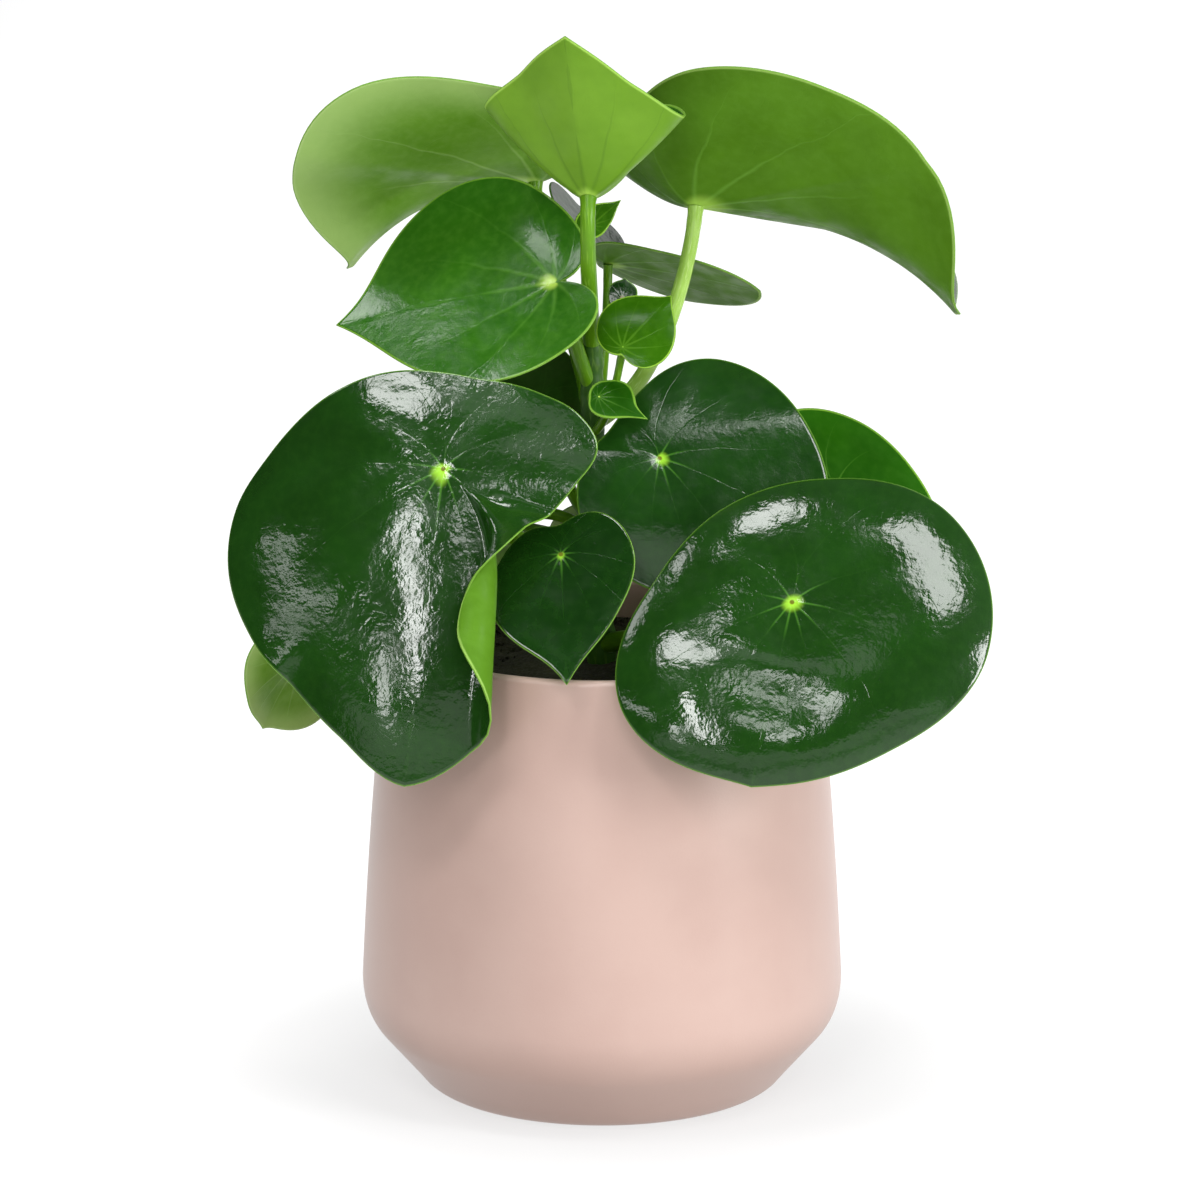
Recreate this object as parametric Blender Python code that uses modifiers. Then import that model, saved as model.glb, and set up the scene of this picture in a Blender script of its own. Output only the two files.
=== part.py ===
"""A potted peperomia: round peltate leaves on fleshy stalks, one stem, soil and a blush ceramic pot.

Everything below is in millimetres and degrees until it becomes a mesh, which is in metres.
The origin is the middle of the pot's underside, +Z is up and -Y is the front.
"""

import math

import bmesh
import bpy
import numpy as np
from mathutils import Vector

MM = 0.001
CLEARANCE = 0.3  # between pieces that touch on the plant
SEAT = 0.5  # between a stalk's end and the middle of its blade's underside

# Pot
POT_HEIGHT = 139.4
RIM_RADIUS = 64.1
BELLY_RADIUS = 72.5
BELLY_HEIGHT = 32.0
POT_BULGE = 0.43  # how far the side bows out between belly and rim
FOOT_RADIUS = 53.3
CHAMFER_TOP_RADIUS = 67.6
CHAMFER_TOP_HEIGHT = 16.6
POT_WALL = 4.0
POT_FLOOR = 6.0
FOOT_ROUND = 1.2
POT_SIDES = 48

# Soil
SOIL_TOP = 127.0
SOIL_MOUND = 2.5  # higher in the middle than at the wall
SOIL_SIDES = 36

# Stem: points that its middle passes through, and its radius at the soil and at the top
STEM_POINTS = ((0, 0, 96), (0, 0, 128), (-2, 0, 160), (-3, 0, 195), (-3, -1, 226))
STEM_RADII = (4.4, 4.4, 4.0, 3.6, 3.0)
STEM_SIDES = 12

# Blades and their stalks
BLADE_THICKNESS = 1.0
STALK_SIDES = 6
STALK_SWELL = 1.25  # a stalk's radius where it leaves the stem, against its radius at the blade
ARC_STEPS = 24
DROOP_ONSET = 1.3  # a droop grows towards the rim

# Each leaf: where its stalk meets the blade (at), which way the upper face looks (facing: azimuth from
# the front towards the right, then elevation), and where its tip points in that plane (tip: from
# straight down, towards the right of someone who looks at the upper face).
# Reach and bend run round the blade in equal turns from the tip: how far it reaches, and how far it has
# turned up at the rim, or down where the value is below zero.
# A fold of less than 1 starts right at the stalk, and a larger droop waits until nearer the rim. A margin is
# a width that rolls up by the curl of each turn, and stays flat where the curl is below zero.
# The stalk leaves the stem at the height base, climbing at the angle leave, and is stalk thick, as a
# radius, under the blade. It meets the underside squarely, or from the direction arrive.
LEAVES = {
    "top_left": dict(
        at=(-20, 34, 269), facing=(177, 70), tip=80, point=6, fold=0.35, base=217, stalk=2.0,
        reach=(60, 75, 80, 55, 36, 26, 22, 22, 28, 42, 60, 74),
        bend=(-55, -10, 16, 28, 34, 40, 45, 45, 45, 45, 40, 0),
    ),
    "crown": dict(
        at=(-4, -24, 275), facing=(177, 51), tip=173, point=5, fold=0.3, base=227, stalk=2.1,
        reach=(49, 41, 38, 36, 28, 24, 22, 23, 27, 34, 40, 42),
        bend=(40, 34, 32, 72, 67, 64, 62, 64, 66, 70, 45, 48),
    ),
    "top_right": dict(
        at=(28, 26, 263), facing=(179, 62), tip=-90, point=6, fold=0.35, base=202,
        leave=12, arrive=(-2, -9, -21), stalk=2.1,
        reach=(83, 84, 74, 62, 50, 34, 26, 30, 42, 60, 72, 80),
        bend=(-53, 0, 35, 42, 42, 42, 42, 42, 39, 33, 20, -2),
    ),
    "upper_left": dict(
        at=(-14, -16, 248), facing=(-22, 42), tip=-75, point=13, notch=0.65, base=213, stalk=1.9,
        reach=(56, 41, 29, 20, 6, 14, 27, 55),
        bend=(-9, -1, 14, 17, 7, 13, 20, -10),
    ),
    "front_left": dict(
        at=(-46, -51, 200), facing=(0, 24), tip=-7, point=2, base=139, stalk=2.4, rings=6, turns=40,
        reach=(
            91, 80, 60.5, 44, 32, 34, 38.5, 45, 42.5, 36.5, 32, 29,
            28.5, 29.5, 32, 35.5, 40, 46.5, 55.5, 66.5, 73.5, 76, 77, 83,
        ),
        bend=(-16, -14, -6, 0, -7, -8, -8, -8, -16, -38, -40, -24),
        margin=19, curl=(-150, 20, 225, 200, 60, 0, 0, 0, 0, 0, 0, 0, 0, 0, 0, 0, 0, 0, 0, 0, 0, 0, 0, -150),
    ),
    "front_right": dict(
        at=(55, -62, 163), facing=(3, 35), tip=-14, point=1.5, droop=2.4, base=134, leave=20, stalk=2.4,
        reach=(55, 52.5, 59.5, 56.5, 41.5, 36.5, 40.5, 59.5), rings=5,
        bend=(-34, -38, -24, -20, -20, -22, -24, -34),
    ),
    "centre_right": dict(
        at=(17, -20, 196), facing=(9, 37), tip=11, point=3, base=178, stalk=2.0,
        reach=(44, 53, 46, 39, 22, 17, 25, 36),
        bend=(-12, -6, 0, -8, -4, -1, 3, -8),
    ),
    "right_behind": dict(
        at=(70, 8, 180), facing=(29, 40), tip=7, point=3, base=166, stalk=1.9,
        reach=(41, 37, 28, 27, 28, 30, 34, 38),
        bend=(-15, -8, 2, -2, 0, 0, 8, -8),
    ),
    "front_low": dict(
        at=(-12, -49, 174), facing=(-4, 39.5), tip=5, point=10, base=148, stalk=1.3,
        reach=(31.5, 24, 21, 17.5, 9.5, 12, 17, 28),
        bend=(-2, 0, 3, 2, 0, 1, 3, 1),
    ),
    "young": dict(
        at=(6, -23, 230), facing=(-3, 36), tip=142, point=4, base=199, leave=20,
        arrive=(-1, 4, -7), stalk=1.1, rings=3, turns=20,
        reach=(18.5, 16, 10, 5.3, 3, 3, 10, 15),
        bend=(-12, -10, -8, -8, 0, -8, -8, -11),
    ),
    "bud": dict(
        at=(-1, -22, 215), facing=(3, 38), tip=63, point=6, base=205, stalk=0.8, rings=3, turns=18,
        reach=(9.8, 10, 6, 4, 3, 3, 5, 7),
        bend=(-4, -7, -4, 0, 0, 0, -4, -6),
    ),
    "back_thin": dict(
        at=(2, 50, 241), facing=(158, 55), tip=-85, point=1, base=192, leave=10,
        arrive=(0, 0, -1), stalk=1.3, turns=24,
        reach=(48, 33, 12, 6, 4, 8, 13, 25),
        bend=(-10, -1, 8, 6, 0, 4, 4, -8),
    ),
    "left_behind": dict(
        at=(-21, 20, 202), facing=(-21, 41), tip=-22, point=3, base=170, leave=35, stalk=1.6, turns=24,
        reach=(33, 28, 20, 15, 20, 26, 27, 30),
        bend=(-15, -8, 8, 0, 0, 0, 8, -8),
    ),
    "low_left": dict(
        at=(-91, 14, 127), facing=(231, 34), tip=10, point=2, base=166, arrive=(6, -2, 5), stalk=1.5, turns=24,
        reach=(25, 22, 23, 26, 20, 21, 26, 33),
        bend=(-17, -10, 18, 8, -6, 0, 5, -26),
    ),
    "small_behind": dict(
        at=(6, 5, 239), facing=(5, 20), tip=170, point=1, base=222, stalk=0.8, rings=3, turns=16,
        reach=(5, 5, 4, 4, 3, 4, 4, 5),
        bend=(-6, -4, 0, 0, 0, 0, 0, -4),
    ),
    "back_grey": dict(
        at=(-4, 62, 249), facing=(73, 39), tip=-33, point=2, base=194, leave=68, stalk=1.5, turns=24,
        reach=(8, 11, 18, 13, 9, 18, 16, 10),
        bend=(-10, -4, 5, 0, 0, 5, 3, -4),
    ),
    "shoot": dict(
        at=(-3, 10, 260), facing=(15, 20), tip=126, point=4, base=223, stalk=0.8, rings=3, turns=16,
        reach=(8, 6, 5, 5, 4, 4, 4, 5),
        bend=(-6, -4, 0, 0, 0, 0, 0, -4),
    ),
    "far_left": dict(
        at=(-48, 50, 170), facing=(202, 42), tip=12, point=5, base=160, leave=30, stalk=1.9, turns=24,
        reach=(42, 38, 34, 30, 24, 30, 34, 38),
        bend=(-22, -10, 12, 2, -6, 2, 12, -10),
    ),
    "far_right": dict(
        at=(50, 40, 170), facing=(146, 40), tip=-14, point=5, base=158, stalk=1.9, turns=24,
        reach=(38, 34, 30, 27, 21, 27, 31, 35),
        bend=(-22, -10, 12, 2, -6, 2, 12, -10),
    ),
    "far_low": dict(
        at=(7, 66, 152), facing=(178, 38), tip=4, point=5, base=148, stalk=1.6, turns=24,
        reach=(30, 27, 23, 20, 16, 20, 23, 27),
        bend=(-18, -8, 8, 2, -4, 2, 8, -8),
    ),
    "far_bottom": dict(
        at=(-40, 56, 150), facing=(206, 36), tip=-6, point=4, base=140, stalk=1.5, turns=24,
        reach=(28, 25, 21, 18, 14, 18, 21, 25),
        bend=(-18, -8, 8, 2, -4, 2, 8, -8),
    ),
}
TURNS = 28  # corners round a blade, unless its entry says otherwise
RINGS = 4  # rings from stalk to rim, likewise
FIRST_RING = 0.1  # where the first ring lies, as a share of the reach

# Finish of each piece: colour, roughness
FINISHES = {
    "pot": ((0.62, 0.39, 0.35), 0.6),
    "soil": ((0.035, 0.024, 0.016), 0.95),
    "stem": ((0.07, 0.13, 0.03), 0.45),
    "stalk": ((0.22, 0.42, 0.06), 0.4),
    "old_blade": ((0.012, 0.075, 0.02), 0.22),
    "young_blade": ((0.05, 0.22, 0.02), 0.3),
    "underside": ((0.2, 0.42, 0.07), 0.45),
}
YOUNG = ("upper_left", "right_behind", "young", "bud", "shoot", "low_left", "back_thin")
SHOWS_UNDERSIDE = ("top_left", "crown", "top_right")


def clear_scene():
    for thing in list(bpy.data.objects):
        bpy.data.objects.remove(thing, do_unlink=True)


def make_collection(name):
    collection = bpy.data.collections.new(name)
    bpy.context.scene.collection.children.link(collection)
    return collection


def finish(name):
    """The material of that name, made once."""
    material = bpy.data.materials.get(name)
    if material is None:
        colour, roughness = FINISHES[name]
        material = bpy.data.materials.new(name)
        material.use_nodes = True
        shader = material.node_tree.nodes["Principled BSDF"]
        shader.inputs["Base Color"].default_value = (*colour, 1)
        shader.inputs["Roughness"].default_value = roughness
    return material


def add_object(name, mesh, collection, material_name):
    thing = bpy.data.objects.new(name, mesh)
    collection.objects.link(thing)
    mesh.materials.append(finish(material_name))
    return thing


def round_values(values, turns):
    """Equally spaced values round a blade, joined by a smooth closed curve and read at each turn."""
    values = np.asarray(values, float)
    count = len(values)
    place = (turns % 360) / 360 * count
    start = np.floor(place).astype(int) % count
    part = place - np.floor(place)
    a, b, c, d = (values[(start + k) % count] for k in (-1, 0, 1, 2))
    cubic = 3 * (b - c) + d - a
    return b + 0.5 * part * (c - a + part * (2 * a - 5 * b + 4 * c - d + part * cubic))


def reach_at(leaf, turns):
    """How far the flat blade reaches at each turn, with its drawn-out tip and its notch at the heel."""
    from_tip = np.minimum(turns % 360, 360 - turns % 360)
    reach = round_values(leaf["reach"], turns) + leaf["point"] * np.exp(-from_tip / 8)
    return reach * (1 - leaf.get("notch", 0) * np.exp(-(((180 - from_tip) / 14) ** 2)))


def rim_normal(leaf, turns):
    """Which way the flat rim looks at each turn, in the blade's plane."""
    before, after = (
        np.stack([np.cos(np.radians(w)), np.sin(np.radians(w))]) * reach_at(leaf, w)
        for w in (turns - 6, turns + 6)
    )
    along = after - before
    normal = np.stack([along[1], -along[0]])
    return normal / np.hypot(*normal)


def blade_axes(leaf):
    """Towards the tip, across the blade, and out of its upper face."""
    azimuth, elevation = (math.radians(v) for v in leaf["facing"])
    level = Vector((math.sin(azimuth), -math.cos(azimuth), 0))
    up = Vector((0, 0, 1))
    normal = math.cos(elevation) * level + math.sin(elevation) * up
    downhill = math.sin(elevation) * level - math.cos(elevation) * up
    turn = math.radians(leaf["tip"])
    tip = math.cos(turn) * downhill + math.sin(turn) * normal.cross(downhill)
    return tip, normal.cross(tip), normal


def blade_points(leaf, turns, shares):
    """Points of the upper face: turns are round the blade from its tip, shares are from stalk to rim."""
    reach = reach_at(leaf, turns)
    bend = np.radians(round_values(leaf["bend"], turns))
    onset = np.where(bend > 0, leaf.get("fold", 1.0), leaf.get("droop", DROOP_ONSET))
    # along each turn the blade is an arc, added up from short straight steps
    steps = (np.arange(ARC_STEPS) + 0.5) / ARC_STEPS * shares[:, None]
    slopes = bend[:, None] * steps ** onset[:, None]
    stride = reach * shares / ARC_STEPS
    out = stride * np.cos(slopes).sum(1)
    lift = stride * np.sin(slopes).sum(1)
    spoke = np.stack([np.cos(np.radians(turns)), np.sin(np.radians(turns))])
    flat = spoke * out
    if "curl" in leaf:
        normal = rim_normal(leaf, turns)
        curl = np.radians(np.maximum(round_values(leaf["curl"], turns), 0)) + 1e-6
        radius = leaf["margin"] / curl
        from_rim = (1 - shares) * reach * (spoke * normal).sum(0)
        rolled = np.maximum(leaf["margin"] - from_rim, 0)
        back = radius * np.sin(rolled / radius) - rolled
        rise = radius * (1 - np.cos(rolled / radius))
        slope = bend * shares**onset
        flat = flat + normal * (back * np.cos(slope) - rise * np.sin(slope))
        lift = lift + back * np.sin(slope) + rise * np.cos(slope)
    tip, across, up = (np.array(axis) for axis in blade_axes(leaf))
    return np.array(leaf["at"]) + np.outer(flat[0], tip) + np.outer(flat[1], across) + np.outer(lift, up)


def polar_disc(turns, rings):
    """A flat disc of radius 1 that is spun from one spoke."""
    mesh = bmesh.new()
    radii = [0.0] + [FIRST_RING + (1 - FIRST_RING) * k / (rings - 1) for k in range(rings)]
    spoke = [mesh.verts.new((radius, 0, 0)) for radius in radii]
    edges = [mesh.edges.new(pair) for pair in zip(spoke, spoke[1:])]
    bmesh.ops.spin(
        mesh, geom=spoke + edges, cent=(0, 0, 0), axis=(0, 0, 1), angle=2 * math.pi, steps=turns, use_merge=True
    )
    bmesh.ops.remove_doubles(mesh, verts=mesh.verts, dist=1e-5)
    bmesh.ops.triangulate(mesh, faces=mesh.faces)
    bmesh.ops.recalc_face_normals(mesh, faces=mesh.faces)
    if sum(face.normal.z for face in mesh.faces) < 0:
        bmesh.ops.reverse_faces(mesh, faces=mesh.faces)
    return mesh


def blade(name, leaf, collection):
    """A thin closed blade: a disc moved by the leaf's own numbers, then given its thickness downwards."""
    disc = polar_disc(leaf.get("turns", TURNS), leaf.get("rings", RINGS))
    flat = np.array([vert.co for vert in disc.verts])
    turns = np.degrees(np.arctan2(flat[:, 1], flat[:, 0]))
    shares = np.minimum(np.hypot(flat[:, 0], flat[:, 1]), 1)
    for vert, point in zip(disc.verts, blade_points(leaf, turns, shares)):
        vert.co = Vector(point) * MM
    mesh = bpy.data.meshes.new(f"blade_{name}")
    disc.to_mesh(mesh)
    disc.free()
    material = "underside" if name in SHOWS_UNDERSIDE else "young_blade" if name in YOUNG else "old_blade"
    thing = add_object(f"blade_{name}", mesh, collection, material)
    sheet = thing.modifiers.new("Thickness", "SOLIDIFY")
    sheet.thickness = BLADE_THICKNESS * MM
    sheet.offset = -1
    mesh.shade_smooth()
    return thing


def tube_mesh(name, points, radii, sides):
    """A closed tube through the points, as a mesh."""
    curve = bpy.data.curves.new(name, "CURVE")
    curve.dimensions = "3D"
    curve.bevel_depth = MM
    curve.bevel_resolution = sides // 2 - 2
    curve.use_fill_caps = True
    spline = curve.splines.new("POLY")
    spline.points.add(len(points) - 1)
    for knot, point, radius in zip(spline.points, points, radii):
        knot.co = (*(Vector(point) * MM), 1)
        knot.radius = radius
    guide = bpy.data.objects.new(name, curve)
    bpy.context.scene.collection.objects.link(guide)
    graph = bpy.context.evaluated_depsgraph_get()
    mesh = bpy.data.meshes.new_from_object(guide.evaluated_get(graph))
    bpy.data.objects.remove(guide, do_unlink=True)
    bpy.data.curves.remove(curve)
    welded = bmesh.new()
    welded.from_mesh(mesh)
    bmesh.ops.remove_doubles(welded, verts=welded.verts, dist=1e-6)
    bmesh.ops.recalc_face_normals(welded, faces=welded.faces)
    welded.to_mesh(mesh)
    welded.free()
    mesh.name = name
    return mesh


def smooth_route(points, values, steps):
    """Points on a smooth curve through the given ones, and the values between them."""
    points = [Vector(p) for p in points]
    route, read = [], []
    for i in range(len(points) - 1):
        a, b, c, d = (points[min(max(i + k, 0), len(points) - 1)] for k in (-1, 0, 1, 2))
        for step in range(steps):
            t = step / steps
            route.append(b + 0.5 * t * (c - a + t * (2 * a - 5 * b + 4 * c - d + t * (3 * (b - c) + d - a))))
            read.append(values[i] + (values[i + 1] - values[i]) * t)
    return route + [points[-1]], read + [values[-1]]


def stem_middle(height):
    """Where the stem's middle is at a height."""
    heights = [p[2] for p in STEM_POINTS]
    return Vector([np.interp(height, heights, [p[k] for p in STEM_POINTS]) for k in range(3)])


def stem(collection):
    route, radii = smooth_route(STEM_POINTS, STEM_RADII, 3)
    mesh = tube_mesh("stem", route, radii, STEM_SIDES)
    return add_object("stem", mesh, collection, "stem")


def stem_cutter(collection):
    """The stem with the clearance all round it, which leaves its hole in what it touches."""
    points = [(x, y, z - CLEARANCE * (k == 0)) for k, (x, y, z) in enumerate(STEM_POINTS)]
    points[-1] = (points[-1][0], points[-1][1], points[-1][2] + CLEARANCE)
    route, radii = smooth_route(points, [r + CLEARANCE for r in STEM_RADII], 3)
    cutter = bpy.data.objects.new("stem_cutter", tube_mesh("stem_cutter", route, radii, STEM_SIDES))
    collection.objects.link(cutter)
    cutter.hide_render = True
    cutter.display_type = "WIRE"
    return cutter


def cut(thing, cutter):
    hole = thing.modifiers.new("Seat", "BOOLEAN")
    hole.operation = "DIFFERENCE"
    hole.object = cutter


def stalk_route(leaf):
    """From the stem's middle, up and out, to just under the blade, where it meets the blade squarely."""
    start = stem_middle(leaf["base"])
    normal = blade_axes(leaf)[2]
    under = Vector(leaf.get("arrive", -normal)).normalized()
    slant = math.sqrt(1 - min(under.dot(normal) ** 2, 1))
    end = Vector(leaf["at"]) - normal * (BLADE_THICKNESS + SEAT + leaf["stalk"] * slant)
    span = (end - start).length
    outward = Vector((end.x - start.x, end.y - start.y, 0)).normalized()
    climb = math.radians(leaf.get("leave", 53))
    leave = start + (outward * math.cos(climb) + Vector((0, 0, math.sin(climb)))) * span * 0.35
    arrive = end + under * span * 0.3
    route = []
    steps = 4 + round(span / 9)
    for k in range(steps + 1):
        t = k / steps
        s = 1 - t
        route.append(start * s**3 + leave * 3 * s * s * t + arrive * 3 * s * t * t + end * t**3)
    return route


def stalk(name, leaf, collection, cutter):
    route = stalk_route(leaf)
    last = len(route) - 1
    radii = [leaf["stalk"] * (1 + (STALK_SWELL - 1) * (1 - k / last)) for k in range(last + 1)]
    mesh = tube_mesh(f"stalk_{name}", route, radii, STALK_SIDES)
    thing = add_object(f"stalk_{name}", mesh, collection, "stalk")
    cut(thing, cutter)
    return thing


def pot_profile():
    """Outer side from rim to foot, then the floor, then the inside back up to the rim."""
    outer = []
    for k in range(9):
        t = k / 8
        radius = RIM_RADIUS + (BELLY_RADIUS - RIM_RADIUS) * (t * (1 + POT_BULGE) - POT_BULGE * t * t)
        outer.append((radius, POT_HEIGHT + (BELLY_HEIGHT - POT_HEIGHT) * t))
    # the shoulder above the chamfer rolls over from upright to the chamfer's slope
    slope = CHAMFER_TOP_HEIGHT / (CHAMFER_TOP_RADIUS - FOOT_RADIUS)
    corner = (BELLY_RADIUS, (BELLY_RADIUS - FOOT_RADIUS) * slope)
    for k in range(1, 6):
        t = k / 5
        s = 1 - t
        outer.append(
            tuple(
                s * s * a + 2 * s * t * b + t * t * c
                for a, b, c in zip((BELLY_RADIUS, BELLY_HEIGHT), corner, (CHAMFER_TOP_RADIUS, CHAMFER_TOP_HEIGHT))
            )
        )
    outer.append((FOOT_RADIUS + FOOT_ROUND * 0.8, FOOT_ROUND))
    outer.append((FOOT_RADIUS - FOOT_ROUND, 0))
    inner = [
        (radius - POT_WALL, max(height, POT_FLOOR))
        for radius, height in outer
        if height > CHAMFER_TOP_HEIGHT + 3
    ]
    inner.append((CHAMFER_TOP_RADIUS - 2 * POT_WALL, POT_FLOOR + 3))
    inner.append((FOOT_RADIUS - POT_WALL, POT_FLOOR))
    # a lip rounded from the outer side over to the inner one
    lip = POT_WALL / 2
    rim = []
    for k in range(1, 6):
        turn = math.pi * k / 6
        rim.append((RIM_RADIUS - lip + lip * math.cos(turn), POT_HEIGHT - lip + lip * math.sin(turn)))
    outer[0] = (RIM_RADIUS, POT_HEIGHT - lip)
    inner[0] = (RIM_RADIUS - POT_WALL, POT_HEIGHT - lip)
    return [(0, POT_FLOOR)] + inner[::-1] + rim[::-1] + outer + [(0, 0)], inner


def turned(name, profile, collection, material, sides):
    """A profile that runs from the axis round to the axis, turned once about Z."""
    shape = bmesh.new()
    verts = [shape.verts.new((radius * MM, 0, height * MM)) for radius, height in profile]
    for pair in zip(verts, verts[1:]):
        shape.edges.new(pair)
    mesh = bpy.data.meshes.new(name)
    shape.to_mesh(mesh)
    shape.free()
    thing = add_object(name, mesh, collection, material)
    screw = thing.modifiers.new("Turn", "SCREW")
    screw.steps = sides
    screw.render_steps = sides
    screw.use_merge_vertices = True
    screw.merge_threshold = 1e-5
    screw.use_normal_calculate = False
    screw.use_smooth_shade = True
    return thing


def soil_profile(inner):
    """The mix fills the pot up to its level, with the clearance to the wall and the floor."""
    wall = [
        (radius - CLEARANCE, height)
        for radius, height in inner
        if POT_FLOOR + 2 < height < SOIL_TOP
    ]
    heights = [height for _, height in inner][::-1]
    radii = [radius for radius, _ in inner][::-1]
    edge = float(np.interp(SOIL_TOP, heights, radii)) - CLEARANCE
    top = [
        (edge * share, SOIL_TOP + SOIL_MOUND * (1 - share * share))
        for share in (0.35, 0.7, 1.0)
    ]
    floor = (FOOT_RADIUS - POT_WALL - CLEARANCE, POT_FLOOR + CLEARANCE)
    return [(0, SOIL_TOP + SOIL_MOUND)] + top + wall + [floor, (0, POT_FLOOR + CLEARANCE)]


def main():
    clear_scene()
    plant = make_collection("PottedPeperomia")
    cutters = make_collection("Cutters")
    cutter = stem_cutter(cutters)
    profile, inner = pot_profile()
    turned("pot", profile, plant, "pot", POT_SIDES)
    soil = turned("soil", soil_profile(inner), plant, "soil", SOIL_SIDES)
    cut(soil, cutter)
    stem(plant)
    for name, leaf in LEAVES.items():
        blade(name, leaf, plant)
        stalk(name, leaf, plant, cutter)


main()
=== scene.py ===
"""A potted peperomia, dressed: waxy round leaves on sappy stalks, damp potting mix and a matte blush pot.

Lengths are in millimetres and angles in degrees until they become a mesh, which is in metres.
The origin is the middle of the pot's underside, +Z is up and -Y is the front.
"""

import math
from functools import partial

import bmesh
import bpy
import numpy as np
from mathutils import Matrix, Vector, noise


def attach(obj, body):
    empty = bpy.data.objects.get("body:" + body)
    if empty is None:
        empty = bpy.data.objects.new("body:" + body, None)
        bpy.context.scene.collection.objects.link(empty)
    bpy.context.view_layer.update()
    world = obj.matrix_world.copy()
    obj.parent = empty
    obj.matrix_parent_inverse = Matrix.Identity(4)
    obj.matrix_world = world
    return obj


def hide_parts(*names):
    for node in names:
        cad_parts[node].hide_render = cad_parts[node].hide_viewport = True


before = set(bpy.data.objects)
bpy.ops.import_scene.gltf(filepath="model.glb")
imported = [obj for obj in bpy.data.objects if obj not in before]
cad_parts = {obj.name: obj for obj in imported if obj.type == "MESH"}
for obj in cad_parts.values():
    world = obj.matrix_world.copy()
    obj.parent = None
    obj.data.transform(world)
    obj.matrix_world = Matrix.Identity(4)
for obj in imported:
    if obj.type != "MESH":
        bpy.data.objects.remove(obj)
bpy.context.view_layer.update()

MM = 0.001

# Pot
POT_HEIGHT = 139.4
RIM_RADIUS = 64.1
BELLY_RADIUS = 72.5
BELLY_HEIGHT = 32.0
POT_BULGE = 0.43
FOOT_RADIUS = 53.3
CHAMFER_TOP_RADIUS = 67.6
CHAMFER_TOP_HEIGHT = 16.6
POT_WALL = 4.0
POT_FLOOR = 6.0
FOOT_ROUND = 1.6
# How finely it is turned: round its axis, then down the side, belly, chamfer and foot, and over the rim
POT_SIDES = 192
SIDE_STEPS = 24
BELLY_STEPS = 14
CHAMFER_STEPS = 5
FOOT_STEPS = 6
RIM_STEPS = 14

# Potting mix
SOIL_TOP = 127.0
SOIL_MOUND = 2.5
SOIL_RADIUS = RIM_RADIUS - POT_WALL + 0.6
SOIL_SIDES = 120
SOIL_RINGS = 40
SOIL_SKIRT = 14
SOIL_PLUG = 20
LUMP_WAVES = 0.16
CRUMB_SIZE = 1.5

# Stem
STEM_POINTS = ((0, 0, 96), (0, 0, 128), (-2, 0, 160), (-3, 0, 195), (-3, -1, 226))
STEM_RADII = (4.4, 4.4, 4.0, 3.6, 3.0)
STEM_STEPS = 150
STEM_SOFTENING = 15
RING_SWELL = 0.35
RING_LIMIT = 0.5
# How far above its last point the stem's top rises, and its share of the width there
STEM_TOP = ((0.6, 0.93), (1.1, 0.75), (1.4, 0.45), (1.5, 0.08))

# Blades and stalks
BLADE_THICKNESS = 1.0
RIM_THICKNESS = 0.55
# The rim's round: how far from the upper skin to the underside, and how far out in rim thicknesses
RIM_ROUND = ((0.2, 0.3), (0.5, 0.42), (0.8, 0.3))
DIMPLE_DEPTH = 0.32
DIMPLE_RADIUS = 2.2
ARC_STEPS = 24
DROOP_ONSET = 1.3
TIP_WIDTH = 8
NOTCH_WIDTH = 14
STALK_SWELL = 1.25
STALK_STEPS = 48
STALK_CLIMB = 53

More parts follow.
